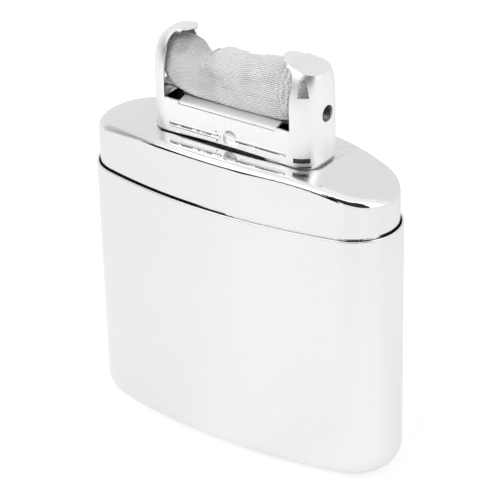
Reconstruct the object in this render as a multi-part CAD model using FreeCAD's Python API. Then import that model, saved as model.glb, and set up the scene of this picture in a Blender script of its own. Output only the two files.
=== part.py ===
import FreeCAD, Part
import math
import os

# Catalytic hand warmer: a nickel-plated fuel tank packed with cotton, and a catalytic burner
# head that pulls straight up off the tank's neck.  Millimetres, +Z up, origin on the resting
# plane under the middle of the tank.  X runs across the width, -Y is the front.

V = FreeCAD.Vector
UP = V(0, 0, 1)

# --- driving dimensions: tank body ---------------------------------------------------------
BODY_WIDTH = 68.0            # across the two narrow ends
BODY_DEPTH = 24.8            # front to back at the middle
END_RADIUS_SHARE = 0.383     # plan radius of each narrow end, of the depth
BODY_HEIGHT = 52.5           # top edge of the lower shell
BODY_SHEET = 0.5
BODY_BOTTOM_RADIUS = 4.7     # outside radius where the wall turns into the base
BODY_LIP_RADIUS = 0.22       # rounding of the lower shell's top edge

# --- driving dimensions: shoulder -----------------------------------------------------------
COLLAR_HEIGHT = 10.5         # flat middle of the shoulder above the lower shell's edge
SHOULDER_SHEET = 0.5
SHOULDER_SKIRT = 8.0         # how far the shoulder reaches down inside the lower shell
EDGE_RADIUS = 1.4            # outside radius between the collar wall and the top, in the middle
EDGE_RADIUS_LEFT = 3.0       # the same at the left end
EDGE_RADIUS_RIGHT = 1.8      # and at the right end
EDGE_GROWTH = 1.5            # power by which it grows towards an end
LEAST_RADIUS = 0.1           # no formed edge is sharper
CROWN_FLAT = 12.1            # half-width of the flat middle
CROWN_DROOP_LEFT = 1.5       # how far the crown droops at the left end
CROWN_DROOP_RIGHT = 3.8      # and at the right end
SEAM_GAP = 0.2               # between the lower shell and the shoulder's skirt, filled by the seam
SEAM_RECESS = 0.8            # the seam stops this far below the lower shell's edge

# --- driving dimensions: neck ---------------------------------------------------------------
NECK_SHEET = 0.4
NECK_RISE = 5.5              # neck rim above the shoulder
NECK_RIM_RADIUS = 0.9        # curl of the rim
NECK_LIP = 1.0               # how far the curled rim reaches inwards
NECK_FLANGE = 1.6            # flange width under the shoulder
NECK_BRAZE_GAP = 0.05        # neck to the hole in the shoulder
GRILLE_SHEET = 0.4
GRILLE_DEPTH = 2.0           # height of the grille's cup
GRILLE_DROP = 4.4            # grille face below the neck rim
GRILLE_GAP = 0.03            # grille cup to neck bore, a press seat
GRILLE_HOLE = 1.9            # hole diameter
GRILLE_PITCH = 2.9           # hole spacing, both ways

# --- driving dimensions: burner head --------------------------------------------------------
BURNER_LENGTH = 37.8
BURNER_DEPTH = 11.8
BURNER_CORNER = 4.7
BURNER_SHEET = 0.4
BURNER_SEAT_GAP = 0.25       # burner rim above the shoulder
RIM_ARCH = 0.3               # how far the rim rises in the middle of each long side
RIM_ARCH_HALF = 12.5         # half-length of that rise
BURNER_SLIDE_GAP = 0.15      # burner wall to neck wall
BURNER_HEIGHT = 19.9         # rim to the top of the hoods
SILL_RISE = 6.8              # window sill above the rim
JAMB = 14.4                  # half-width of the window
HOOD_RISE = 9.2              # height of the curved part of each hood
HOOD_END_PULL_LEFT = 7.0     # how far the left hood's end wall leans in over that height
HOOD_END_PULL_RIGHT = 6.6    # and the right hood's
HOOD_END_POWER_LEFT = 3.0    # how square that lean is
HOOD_END_POWER_RIGHT = 4.8
HOOD_SIDE_PULL_LEFT = 4.6    # how far the hood's front and back close in
HOOD_SIDE_PULL_RIGHT = 4.9
ROOF_SLOPE = 12.5            # degrees the right hood's flattened top falls towards its end
ROOF_DROP = 0.45             # right claw's tip below the left one
CLAW_RISE = 5.55             # straight side of the window's edge ends this far above the hood's start
CLAW_TIP_LEFT = 10.9         # from the middle to the left claw's tip
CLAW_TIP_RIGHT = 9.8         # and to the right one
CLAW_RADIUS = 2.6            # plan radius of each claw's rounded tip
CLAW_DEPTH = 2.0             # how far below the top the claw's rounded tip is cut
TAB_HALF = 11.2              # half-width of the tab folded in from the sill
TAB_REACH = 2.3              # how far the tab reaches in from the outside face
TAB_SLOPE = 17.0             # degrees the tab climbs
TAB_BEND = 0.5               # inside radius of the fold
CHEEK_HOLE = 3.3             # air hole diameter in each end
CHEEK_HOLE_RISE = 9.4        # air hole centre above the rim
SLOT_RISE = 1.15             # corner slots, at the right end only: centre above the rim
SLOT_HEIGHT = 0.95
SLOT_TURN = 59.0             # degrees of the slot's middle, from the long axis
SLOT_SPREAD = 20.0           # degrees each side of it
RELIEF_RISE = 15.3           # relief cuts in the right hood's corners: centre above the rim
RELIEF_TURN = 54.0           # degrees, as for the slot
RELIEF_BOTTOM = 2.3          # width of its lower edge
RELIEF_TOP = 1.1             # width of its upper edge
RELIEF_HEIGHT = 3.3
BEAD_RISE = 1.65             # pressed bead above the rim
BEAD_RADIUS = 0.9
BEAD_PROUD = 0.2
BEAD_HALF = 13.0             # half-length of the bead
DIMPLE_RADIUS = 1.7          # dimple that parts the bead
DIMPLE_SHIFT = 0.8           # to the right of the middle
DIMPLE_PROUD = 0.35
DIMPLE_RISE = 1.9

# --- driving dimensions: catalyst and its carrier -------------------------------------------
CARRIER_SHEET = 0.3
CARRIER_FOOT = 1.1           # height of the foot at each end of the carrier
CARRIER_FOOT_WIDTH = 2.0
CARRIER_SIDE_GAP = 0.2       # carrier to the tabs' edges
CARRIER_REACH = 12.6         # half-length of the carrier's plate, between its two tongues
CARRIER_CORNER_SHARE = 0.5   # plan radius of the plate's corners, of its half-width
CARRIER_HOLE = 1.6
CARRIER_PITCH = 2.6
GAUZE_SHEET = 0.35
GAUZE_GAP = 0.5              # gauze bag to the hoods and tabs
GAUZE_BULGE = 0.9            # how far the bag bellies out past the tabs' edges
GAUZE_HEIGHT = 10.4          # bag height over the carrier at its middle
GAUZE_END_DROP = 2.4         # how much lower its ends are
GAUZE_PINCH_SHARE = 0.5      # how far its ends are pinched in, of its half-width
GAUZE_END_POWER = 6          # how suddenly the bag closes towards its ends
GAUZE_STATION_SHARES = (-1.0, -0.93, -0.6, 0.0, 0.6, 0.93, 1.0)    # sections, of the half-length
GAUZE_PROFILE_SHARES = ((1.0, 0.35), (0.93, 0.72), (0.45, 0.97))   # of the half-width, of the height
WOOL_GAP = 0.1               # wool to the bag, and between the two pads
WOOL_SPLIT_SHARE = 0.45      # height of the lower pad, of the bag's inside

# --- driving dimensions: packing -------------------------------------------------------------
COTTON_GAP = 0.3             # cotton to the shells
COTTON_SPLIT = 3.9           # half-thickness of the middle batt
BATT_GAP = 0.2               # between the batts
FELT_THICKNESS = 1.5
FELT_GAP = 0.1               # felt to the grille cup and the cotton

# --- making ----------------------------------------------------------------------------------
PAST = 1.0                   # how far a cutter reaches past what it cuts
HOOD_STEPS = 9               # sections lofted into the hood
TOUCH = 1e-4                 # two heights this close are one


# --- places worked out from the sizes --------------------------------------------------------
END_RADIUS = BODY_DEPTH * END_RADIUS_SHARE
SHOULDER_TOP = BODY_HEIGHT + COLLAR_HEIGHT
SHOULDER_INSET = BODY_SHEET + SEAM_GAP
SHOULDER_UNDERSIDE = SHOULDER_TOP - SHOULDER_SHEET
BURNER_RIM = SHOULDER_TOP + BURNER_SEAT_GAP
BURNER_TOP = BURNER_RIM + BURNER_HEIGHT
HOOD_START = BURNER_TOP - HOOD_RISE
ROOF_TIP = BURNER_TOP - ROOF_DROP
SILL = BURNER_RIM + SILL_RISE
NECK_INSET = BURNER_SHEET + BURNER_SLIDE_GAP
NECK_RIM = SHOULDER_TOP + NECK_RISE
GRILLE_FACE = NECK_RIM - GRILLE_DROP
GRILLE_INSET = NECK_INSET + NECK_SHEET + GRILLE_GAP
TAB_FOLD = BURNER_SHEET + TAB_BEND
TAB_TURN = math.radians(90 - TAB_SLOPE)
TAB_RUN = (TAB_REACH - TAB_FOLD * (1 - math.cos(TAB_TURN))) / math.sin(TAB_TURN)
TAB_TOP = SILL - TAB_FOLD * (1 - math.sin(TAB_TURN)) + TAB_RUN * math.cos(TAB_TURN)
TAB_EDGE = BURNER_DEPTH / 2 - TAB_REACH
CARRIER_TOP = TAB_TOP - CARRIER_SHEET / 2
CARRIER_HALF = TAB_EDGE - CARRIER_SIDE_GAP
COTTON_TOP = SHOULDER_UNDERSIDE - NECK_SHEET - FELT_GAP
CROWN_RUN = BODY_WIDTH / 2 - SHOULDER_INSET - CROWN_FLAT


def arc(a, b, c):
    """Edge through three points."""
    return Part.Arc(a, b, c).toShape()


def line(a, b):
    return Part.makeLine(a, b)


def lens_face(inset, z):
    """Tank plan: two broad arcs joined by two end arcs, all tangent, drawn in by inset."""
    width = BODY_WIDTH - 2 * inset
    depth = BODY_DEPTH - 2 * inset
    end = END_RADIUS - inset
    centre_x = width / 2 - end
    broad = (centre_x ** 2 + depth ** 2 / 4 - end ** 2) / (depth - 2 * end)
    centre_y = broad - depth / 2
    reach = math.hypot(centre_x, centre_y)
    touch_x = centre_x + end * centre_x / reach
    touch_y = end * centre_y / reach
    turn = math.atan2(touch_y, touch_x - centre_x) / 2
    side_x, side_y = centre_x + end * math.cos(turn), end * math.sin(turn)
    points = [
        (-touch_x, -touch_y), (0, -depth / 2), (touch_x, -touch_y), (side_x, -side_y),
        (width / 2, 0), (side_x, side_y), (touch_x, touch_y), (0, depth / 2),
        (-touch_x, touch_y), (-side_x, side_y), (-width / 2, 0), (-side_x, -side_y),
    ]
    ring = [V(x, y, z) for x, y in points + points[:1]]
    return Part.Face(Part.Wire([arc(*ring[i:i + 3]) for i in range(0, len(points), 2)]))


def oval_face(inset, z, half_length=None, half_depth=None, corner=None):
    """Rounded rectangle: the burner's plan drawn in by inset, or one of the given size."""
    x = half_length if half_length else BURNER_LENGTH / 2 - inset
    y = half_depth if half_depth else BURNER_DEPTH / 2 - inset
    r = corner if corner else BURNER_CORNER - inset
    k = r * (1 - math.sqrt(0.5))
    edges = []
    for sx, sy in ((1, -1), (1, 1), (-1, 1), (-1, -1)):
        on_side = V(sx * x, sy * (y - r), z)
        on_long = V(sx * (x - r), sy * y, z)
        first, last = (on_long, on_side) if sx * sy < 0 else (on_side, on_long)
        edges.append(arc(first, V(sx * (x - k), sy * (y - k), z), last))
    joined = []
    for i, edge in enumerate(edges):
        joined.append(edge)
        start = edge.lastVertex(True).Point
        end = edges[(i + 1) % 4].firstVertex(True).Point
        if start.distanceToPoint(end) > 1e-6:
            joined.append(line(start, end))
    return Part.Face(Part.Wire(joined))


def prism(face, height):
    return face.extrude(UP * height)


def top_edges(solid, z):
    """Edges that lie wholly at height z."""
    return [e for e in solid.Edges
            if abs(e.BoundBox.ZMin - z) < TOUCH and abs(e.BoundBox.ZMax - z) < TOUCH]


def under_crown(drop, floor):
    """Everything between floor and the shoulder's crown line lowered by drop."""
    top = SHOULDER_TOP - drop
    reach = BODY_WIDTH / 2 + PAST
    side_y = BODY_DEPTH

    def on_arc(side, share):
        droop = CROWN_DROOP_RIGHT if side > 0 else CROWN_DROOP_LEFT
        radius = (CROWN_RUN ** 2 + droop ** 2) / (2 * droop) - drop
        angle = share * math.asin((reach - CROWN_FLAT) / radius)
        x = CROWN_FLAT + radius * math.sin(angle)
        return V(side * x, -side_y, top - radius * (1 - math.cos(angle)))

    outline = [
        line(V(-reach, -side_y, floor), V(reach, -side_y, floor)),
        line(V(reach, -side_y, floor), on_arc(1, 1)),
        arc(on_arc(1, 1), on_arc(1, 0.5), on_arc(1, 0)),
        line(on_arc(1, 0), on_arc(-1, 0)),
        arc(on_arc(-1, 0), on_arc(-1, 0.5), on_arc(-1, 1)),
        line(on_arc(-1, 1), V(-reach, -side_y, floor)),
    ]
    return Part.Face(Part.Wire(outline)).extrude(V(0, 2 * side_y, 0))


def edge_radius(x):
    """Outside radius of the shoulder's edge at x: it grows from the middle towards both ends."""
    share = max(0.0, abs(x) - CROWN_FLAT) / CROWN_RUN
    end_radius = EDGE_RADIUS_RIGHT if x > 0 else EDGE_RADIUS_LEFT
    return EDGE_RADIUS + (end_radius - EDGE_RADIUS) * min(share, 1.0) ** EDGE_GROWTH


def rounded(solid, edges, radius_at):
    """Solid with the edges filleted, each with its own radius at both of its ends."""
    numbers = {edge.hashCode(): i + 1 for i, edge in enumerate(solid.Edges)}
    work = FreeCAD.newDocument("rounding")
    base = work.addObject("Part::Feature", "base")
    base.Shape = solid
    fillet = work.addObject("Part::Fillet", "fillet")
    fillet.Base = base
    fillet.Edges = [(numbers[edge.hashCode()], radius_at(edge.firstVertex().Point.x),
                     radius_at(edge.lastVertex().Point.x)) for edge in edges]
    work.recompute()
    result = fillet.Shape.copy()
    FreeCAD.closeDocument(work.Name)
    return result


def crowned(inset, drop, floor, base_radius=0.0):
    """Lens column under the crown lowered by drop, with its top edge rounded, and its base if asked."""
    column = prism(lens_face(inset, floor), SHOULDER_TOP - floor + PAST)
    if base_radius:
        column = column.makeFillet(base_radius, top_edges(column, floor))
    solid = column.common(under_crown(drop, floor - PAST))
    rim = []
    for edge in solid.Edges:
        box = edge.BoundBox
        in_one_x = box.XLength < TOUCH
        if box.ZMin > (SHOULDER_TOP + floor) / 2 and not in_one_x:
            rim.append(edge)
    return rounded(solid, rim, lambda x: max(edge_radius(x) - drop, LEAST_RADIUS))


# --- tank ------------------------------------------------------------------------------------
def body_shell():
    outer = prism(lens_face(0, 0), BODY_HEIGHT)
    outer = outer.makeFillet(BODY_BOTTOM_RADIUS, top_edges(outer, 0))
    inner = prism(lens_face(BODY_SHEET, BODY_SHEET), BODY_HEIGHT)
    inner = inner.makeFillet(BODY_BOTTOM_RADIUS - BODY_SHEET, top_edges(inner, BODY_SHEET))
    shell = outer.cut(inner)
    return shell.makeFillet(BODY_LIP_RADIUS, top_edges(shell, BODY_HEIGHT))


def shoulder_cap():
    floor = BODY_HEIGHT - SHOULDER_SKIRT
    outer = crowned(SHOULDER_INSET, 0, floor)
    inner = crowned(SHOULDER_INSET + SHOULDER_SHEET, SHOULDER_SHEET, floor - PAST)
    mouth = prism(oval_face(NECK_INSET - NECK_BRAZE_GAP, floor), SHOULDER_TOP - floor + PAST)
    return outer.cut(inner).cut(mouth)


def seam_solder():
    floor = BODY_HEIGHT - SHOULDER_SKIRT
    height = SHOULDER_SKIRT - SEAM_RECESS
    outer = prism(lens_face(BODY_SHEET, floor), height)
    return outer.cut(prism(lens_face(SHOULDER_INSET, floor), height))


def neck_sleeve():
    base = SHOULDER_UNDERSIDE - NECK_SHEET
    outer = prism(oval_face(NECK_INSET, base), NECK_RIM - base)
    outer = outer.makeFillet(NECK_RIM_RADIUS, top_edges(outer, NECK_RIM))
    bore_inset = NECK_INSET + NECK_SHEET
    bore = prism(oval_face(bore_inset, base), NECK_RIM - NECK_SHEET - base)
    bore = bore.makeFillet(NECK_RIM_RADIUS - NECK_SHEET, top_edges(bore, NECK_RIM - NECK_SHEET))
    mouth = prism(oval_face(NECK_INSET + NECK_LIP + NECK_SHEET, base), NECK_RIM)
    flange = prism(oval_face(NECK_INSET - NECK_FLANGE, base - PAST), 2 * PAST)
    flange = flange.common(under_crown(SHOULDER_SHEET, base - 2 * PAST))
    flange = flange.cut(under_crown(SHOULDER_SHEET + NECK_SHEET, base - 2 * PAST))
    return outer.fuse(flange).cut(bore).cut(mouth).removeSplitter()


def hole_grid(length, depth, pitch, z, height, diameter):
    """Round cutters on a square grid that keeps one diameter of metal at the edge."""
    along = int((length / 2 - diameter) / pitch)
    across = int((depth / 2 - diameter) / pitch)
    cutters = []
    for i in range(-along, along + 1):
        for j in range(-across, across + 1):
            cutters.append(Part.makeCylinder(diameter / 2, height, V(i * pitch, j * pitch, z), UP))
    return Part.makeCompound(cutters)


def neck_grille():
    low = GRILLE_FACE - GRILLE_DEPTH
    cup = prism(oval_face(GRILLE_INSET, low), GRILLE_DEPTH)
    cup = cup.makeFillet(GRILLE_SHEET, top_edges(cup, GRILLE_FACE))
    cup = cup.cut(prism(oval_face(GRILLE_INSET + GRILLE_SHEET, low), GRILLE_DEPTH - GRILLE_SHEET))
    length = BURNER_LENGTH - 2 * (GRILLE_INSET + GRILLE_SHEET)
    depth = BURNER_DEPTH - 2 * (GRILLE_INSET + GRILLE_SHEET)
    return cup.cut(hole_grid(length, depth, GRILLE_PITCH, low, GRILLE_DEPTH + PAST, GRILLE_HOLE))


def felt_pad():
    inset = GRILLE_INSET + GRILLE_SHEET + FELT_GAP
    top = GRILLE_FACE - GRILLE_SHEET
    return prism(oval_face(inset, top - FELT_THICKNESS), FELT_THICKNESS)


def cotton_block():
    """The cotton packing as one block, before it is parted into batts."""
    inset = SHOULDER_INSET + SHOULDER_SHEET + COTTON_GAP
    return crowned(inset, SHOULDER_TOP - COTTON_TOP, BODY_SHEET + COTTON_GAP, BODY_BOTTOM_RADIUS - inset)


def cotton_batt(low_y, high_y):
    slab = Part.makeBox(BODY_WIDTH, high_y - low_y, SHOULDER_TOP, V(-BODY_WIDTH / 2, low_y, 0))
    return cotton_block().common(slab)


# --- burner head -----------------------------------------------------------------------------
def hood_loft(inset, end_pull, end_power, side_pull):
    """A closed top for the burner: rounded rectangles that draw in as they climb."""
    sections = []
    for step in range(HOOD_STEPS + 1):
        angle = math.pi / 2 * step / HOOD_STEPS
        climb = math.sin(angle)
        lean = 1 - (1 - min(climb, 1.0) ** end_power) ** (1 / end_power)
        x = BURNER_LENGTH / 2 - inset - (end_pull - inset) * lean
        y = BURNER_DEPTH / 2 - inset - (side_pull - inset) * (1 - math.cos(angle))
        corner = (BURNER_CORNER - inset) * y / (BURNER_DEPTH / 2 - inset)
        z = HOOD_START + (HOOD_RISE - inset) * climb
        sections.append(oval_face(0, z, x, y, corner).OuterWire)
    return Part.makeLoft(sections, True, False)


def above_roof(inset):
    """Everything above the right hood's sloping top, lowered by inset."""
    run = BURNER_LENGTH
    slope = math.tan(math.radians(ROOF_SLOPE))
    high = ROOF_TIP - inset * math.hypot(1, slope)
    side_y = BURNER_DEPTH
    corners = [V(CLAW_TIP_RIGHT - run, -side_y, high + run * slope),
               V(CLAW_TIP_RIGHT + run, -side_y, high - run * slope),
               V(CLAW_TIP_RIGHT + run, -side_y, high + run * slope)]
    return Part.Face(Part.makePolygon(corners + corners[:1])).extrude(V(0, 2 * side_y, 0))


def half_space(side):
    """Box over the left (-1) or the right (1) half of the burner."""
    box = Part.makeBox(BURNER_LENGTH, 2 * BURNER_DEPTH, BURNER_TOP + PAST)
    box.translate(V(0 if side > 0 else -BURNER_LENGTH, -BURNER_DEPTH, 0))
    return box


def burner_block(inset, floor):
    straight = prism(oval_face(inset, floor), HOOD_START - floor)
    left = hood_loft(inset, HOOD_END_PULL_LEFT, HOOD_END_POWER_LEFT, HOOD_SIDE_PULL_LEFT)
    right = hood_loft(inset, HOOD_END_PULL_RIGHT, HOOD_END_POWER_RIGHT, HOOD_SIDE_PULL_RIGHT)
    left = left.common(half_space(-1))
    right = right.cut(above_roof(inset)).common(half_space(1))
    return straight.fuse(left).fuse(right).removeSplitter()


def window_cutter():
    """Prism through Y that opens the front, the back and the top between the claws."""
    side_y = BURNER_DEPTH
    claw_start = HOOD_START + CLAW_RISE
    roots = {-1: -CLAW_TIP_LEFT - CLAW_RADIUS, 1: CLAW_TIP_RIGHT + CLAW_RADIUS}
    tops = {-1: BURNER_TOP, 1: ROOF_TIP - CLAW_RADIUS * math.tan(math.radians(ROOF_SLOPE))}
    eighth = math.sqrt(0.5)

    def at(x, z):
        return V(x, -side_y, z)

    def half(side):
        root = roots[side]
        jamb = side * JAMB
        rise = tops[side] - BURNER_SHEET - claw_start
        knee = at(root + (jamb - root) * eighth, claw_start + rise * eighth)
        return [
            line(at(jamb, SILL), at(jamb, claw_start)),
            arc(at(jamb, claw_start), knee, at(root, claw_start + rise)),
            line(at(root, claw_start + rise), at(root, BURNER_TOP + PAST)),
        ]

    closing = [line(at(-JAMB, SILL), at(JAMB, SILL)),
               line(at(roots[-1], BURNER_TOP + PAST), at(roots[1], BURNER_TOP + PAST))]
    outline = Part.Wire(Part.__sortEdges__(half(1) + half(-1) + closing))
    cutter = Part.Face(outline).extrude(V(0, 2 * side_y, 0))
    for root in roots.values():
        low = BURNER_TOP - CLAW_DEPTH
        cutter = cutter.cut(Part.makeCylinder(CLAW_RADIUS, CLAW_DEPTH + 2 * PAST, V(root, 0, low), UP))
    return cutter


def sill_tab(side):
    """Tab folded in from the sill; side is -1 for the front, 1 for the back."""
    centre_y = BURNER_DEPTH / 2 - TAB_FOLD
    centre_z = SILL - TAB_FOLD

    def around(radius, angle):
        y = centre_y + radius * math.cos(angle)
        return V(-TAB_HALF, side * y, centre_z + radius * math.sin(angle))

    run = V(0, -side * math.sin(TAB_TURN), math.cos(TAB_TURN)) * TAB_RUN
    outer_end, inner_end = around(TAB_FOLD, TAB_TURN), around(TAB_BEND, TAB_TURN)
    outline = [
        arc(around(TAB_FOLD, 0), around(TAB_FOLD, TAB_TURN / 2), outer_end),
        line(outer_end, outer_end + run),
        line(outer_end + run, inner_end + run),
        line(inner_end + run, inner_end),
        arc(inner_end, around(TAB_BEND, TAB_TURN / 2), around(TAB_BEND, 0)),
        line(around(TAB_BEND, 0), around(TAB_FOLD, 0)),
    ]
    return Part.Face(Part.Wire(outline)).extrude(V(2 * TAB_HALF, 0, 0))


def corner_prism(turn, outline, sy):
    """Prism cut square through the right end's front or back corner; outline is (across, height) pairs."""
    angle = sy * math.radians(turn)
    centre = V(BURNER_LENGTH / 2 - BURNER_CORNER, sy * (BURNER_DEPTH / 2 - BURNER_CORNER), 0)
    out = V(math.cos(angle), math.sin(angle), 0)
    along = V(-math.sin(angle), math.cos(angle), 0) * -sy
    start = centre + out * (BURNER_CORNER / 2)
    points = [start + along * across + UP * z for across, z in outline]
    return Part.Face(Part.makePolygon(points + points[:1])).extrude(out * BURNER_CORNER)


def corner_slot(sy):
    half = BURNER_CORNER * math.sin(math.radians(SLOT_SPREAD))
    low = BURNER_RIM + SLOT_RISE - SLOT_HEIGHT / 2
    high = low + SLOT_HEIGHT
    return corner_prism(SLOT_TURN, [(-half, low), (half, low), (half, high), (-half, high)], sy)


def corner_relief(sy):
    low = BURNER_RIM + RELIEF_RISE - RELIEF_HEIGHT / 2
    high = low + RELIEF_HEIGHT
    outline = [(-RELIEF_BOTTOM / 2, low), (RELIEF_BOTTOM / 2, low),
               (RELIEF_TOP / 2, high), (-RELIEF_TOP / 2, high)]
    return corner_prism(RELIEF_TURN, outline, sy)


def bead(side):
    """Pressed bead in two lengths, either side of the dimple."""
    y = side * (BURNER_DEPTH / 2 + BEAD_PROUD - BEAD_RADIUS)
    z = BURNER_RIM + BEAD_RISE
    lengths = []
    for sx in (-1, 1):
        start = DIMPLE_SHIFT + sx * (DIMPLE_RADIUS + BEAD_RADIUS)
        rod = Part.makeCylinder(BEAD_RADIUS, BEAD_HALF - sx * start, V(start, y, z), V(sx, 0, 0))
        for x in (start, sx * BEAD_HALF):
            rod = rod.fuse(Part.makeSphere(BEAD_RADIUS, V(x, y, z)))
        lengths.append(rod)
    return lengths[0].fuse(lengths[1])


def dimple_ball(side, inset):
    """Ball whose cap is the dimple's outside face (inset 0) or its inside (inset of the sheet)."""
    radius = (DIMPLE_RADIUS ** 2 + DIMPLE_PROUD ** 2) / (2 * DIMPLE_PROUD)
    centre_y = BURNER_DEPTH / 2 + DIMPLE_PROUD - radius
    centre = V(DIMPLE_SHIFT, side * centre_y, BURNER_RIM + DIMPLE_RISE)
    return Part.makeSphere(radius - inset, centre)


def dimple_cap(side):
    """The part of the dimple that stands proud of the wall."""
    reach = 2 * DIMPLE_RADIUS
    outside = Part.makeBox(2 * reach, reach, 2 * reach)
    low_y = BURNER_DEPTH / 2 if side > 0 else -BURNER_DEPTH / 2 - reach
    outside.translate(V(DIMPLE_SHIFT - reach, low_y, BURNER_RIM + DIMPLE_RISE - reach))
    return dimple_ball(side, 0).common(outside)


def rim_arch():
    """Cutter that raises the rim a little in the middle of both long sides."""
    radius = (RIM_ARCH_HALF ** 2 + RIM_ARCH ** 2) / (2 * RIM_ARCH)
    centre = V(0, -BURNER_DEPTH, BURNER_RIM + RIM_ARCH - radius)
    return Part.makeCylinder(radius, 2 * BURNER_DEPTH, centre, V(0, 1, 0))


def burner_frame():
    shell = burner_block(0, BURNER_RIM)
    for side in (-1, 1):
        shell = shell.fuse(bead(side)).fuse(dimple_cap(side))
    shell = shell.cut(burner_block(BURNER_SHEET, BURNER_RIM - PAST))
    for side in (-1, 1):
        shell = shell.cut(dimple_ball(side, BURNER_SHEET))
    shell = shell.cut(window_cutter())
    for side in (-1, 1):
        room = Part.makeBox(2 * TAB_HALF, TAB_FOLD, TAB_FOLD + PAST)
        low_y = BURNER_DEPTH / 2 - TAB_FOLD if side > 0 else -BURNER_DEPTH / 2
        room.translate(V(-TAB_HALF, low_y, SILL - TAB_FOLD))
        shell = shell.cut(room).fuse(sill_tab(side))
    for sy in (-1, 1):
        shell = shell.cut(corner_slot(sy)).cut(corner_relief(sy))
    cheek = Part.makeCylinder(CHEEK_HOLE / 2, 2 * BURNER_LENGTH,
                              V(-BURNER_LENGTH, 0, BURNER_RIM + CHEEK_HOLE_RISE), V(1, 0, 0))
    return shell.cut(rim_arch()).cut(cheek).removeSplitter()


# --- catalyst --------------------------------------------------------------------------------
def mat_carrier():
    """Perforated plate between the tabs, with a tongue and a foot against each end wall."""
    length = BURNER_LENGTH / 2 - BURNER_SHEET
    low = CARRIER_TOP - CARRIER_SHEET
    corner = CARRIER_HALF * CARRIER_CORNER_SHARE
    plate = prism(oval_face(0, low, CARRIER_REACH, CARRIER_HALF, corner), CARRIER_SHEET)
    tongues = Part.makeBox(2 * length, CARRIER_FOOT_WIDTH, CARRIER_SHEET)
    tongues.translate(V(-length, -CARRIER_FOOT_WIDTH / 2, low))
    plate = plate.fuse(tongues)
    plate = plate.cut(hole_grid(2 * CARRIER_REACH, 2 * CARRIER_HALF, CARRIER_PITCH,
                                CARRIER_TOP - PAST, 2 * PAST, CARRIER_HOLE))
    for side in (-1, 1):
        foot = Part.makeBox(CARRIER_SHEET, CARRIER_FOOT_WIDTH, CARRIER_FOOT)
        foot.translate(V(side * length - (CARRIER_SHEET if side > 0 else 0), -CARRIER_FOOT_WIDTH / 2,
                         CARRIER_TOP - CARRIER_FOOT))
        plate = plate.fuse(foot)
    return plate.removeSplitter()


def bag_section(x, inset, shrink):
    """One cross-section of the bag at x: a pear shape, narrow where it passes the tabs."""
    low = CARRIER_TOP + inset
    drop = GAUZE_END_DROP * shrink
    high = CARRIER_TOP + GAUZE_HEIGHT - drop - inset
    foot = CARRIER_HALF * (1 - GAUZE_PINCH_SHARE * shrink) - inset
    belly = (TAB_EDGE + GAUZE_BULGE) * (1 - GAUZE_PINCH_SHARE * shrink) - inset
    rise = high - low
    half = [(foot, 0.0)] + [(belly * w, h) for w, h in GAUZE_PROFILE_SHARES]
    points = [V(x, -w, low + rise * h) for w, h in half]
    points += [V(x, 0, high)]
    points += [V(x, w, low + rise * h) for w, h in reversed(half)]
    curve = Part.BSplineCurve()
    curve.interpolate(points)
    return Part.Wire([curve.toShape(), line(points[-1], points[0])])


def bag_block(inset):
    """Closed bag outline, drawn in by inset, lofted along the burner."""
    end = BURNER_LENGTH / 2 - BURNER_SHEET - GAUZE_GAP - inset
    sections = [bag_section(end * s, inset, abs(s) ** GAUZE_END_POWER) for s in GAUZE_STATION_SHARES]
    return Part.makeLoft(sections, True, False)


def gauze_cover():
    return bag_block(0).cut(bag_block(GAUZE_SHEET))


def wool_pad(lower):
    inset = GAUZE_SHEET + WOOL_GAP
    block = bag_block(inset)
    split = CARRIER_TOP + inset + WOOL_SPLIT_SHARE * (GAUZE_HEIGHT - 2 * inset)
    low = CARRIER_TOP if lower else split + WOOL_GAP
    high = split if lower else BURNER_TOP
    corner = V(-BURNER_LENGTH, -BURNER_DEPTH, low)
    slab = Part.makeBox(2 * BURNER_LENGTH, 2 * BURNER_DEPTH, high - low, corner)
    return block.common(slab)


def nodes():
    split = COTTON_SPLIT
    return {
        "body_shell": body_shell(),
        "shoulder_cap": shoulder_cap(),
        "seam_solder": seam_solder(),
        "neck_sleeve": neck_sleeve(),
        "neck_grille": neck_grille(),
        "felt_pad": felt_pad(),
        "cotton_front": cotton_batt(-BODY_DEPTH, -split - BATT_GAP),
        "cotton_middle": cotton_batt(-split, split),
        "cotton_rear": cotton_batt(split + BATT_GAP, BODY_DEPTH),
        "burner_frame": burner_frame(),
        "mat_carrier": mat_carrier(),
        "gauze_cover": gauze_cover(),
        "catalyst_wool_lower": wool_pad(True),
        "catalyst_wool_upper": wool_pad(False),
    }


os.makedirs("parts", exist_ok=True)
for name, shape in nodes().items():
    if len(shape.Solids) != 1 or not shape.isValid():
        raise ValueError("%s isn't one valid solid" % name)
    shape.Solids[0].exportStep("parts/%s.step" % name)
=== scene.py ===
import math

import bpy
import bmesh
from mathutils import Matrix, Vector, noise


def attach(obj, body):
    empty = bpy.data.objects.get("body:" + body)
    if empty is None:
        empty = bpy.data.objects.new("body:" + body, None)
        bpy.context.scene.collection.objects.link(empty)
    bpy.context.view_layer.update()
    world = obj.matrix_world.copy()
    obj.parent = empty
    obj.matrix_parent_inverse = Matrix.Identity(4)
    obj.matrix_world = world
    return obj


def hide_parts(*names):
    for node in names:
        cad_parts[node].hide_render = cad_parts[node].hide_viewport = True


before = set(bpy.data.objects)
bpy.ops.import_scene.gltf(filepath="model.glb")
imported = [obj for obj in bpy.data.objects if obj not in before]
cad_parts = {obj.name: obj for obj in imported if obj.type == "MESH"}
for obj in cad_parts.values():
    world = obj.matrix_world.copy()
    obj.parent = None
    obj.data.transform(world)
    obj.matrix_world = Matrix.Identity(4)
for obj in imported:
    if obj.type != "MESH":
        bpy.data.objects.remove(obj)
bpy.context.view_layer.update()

MM = 0.001
FAR = 99.0                   # past everything, in millimetres
X, Y, Z = 0, 1, 2

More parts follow.
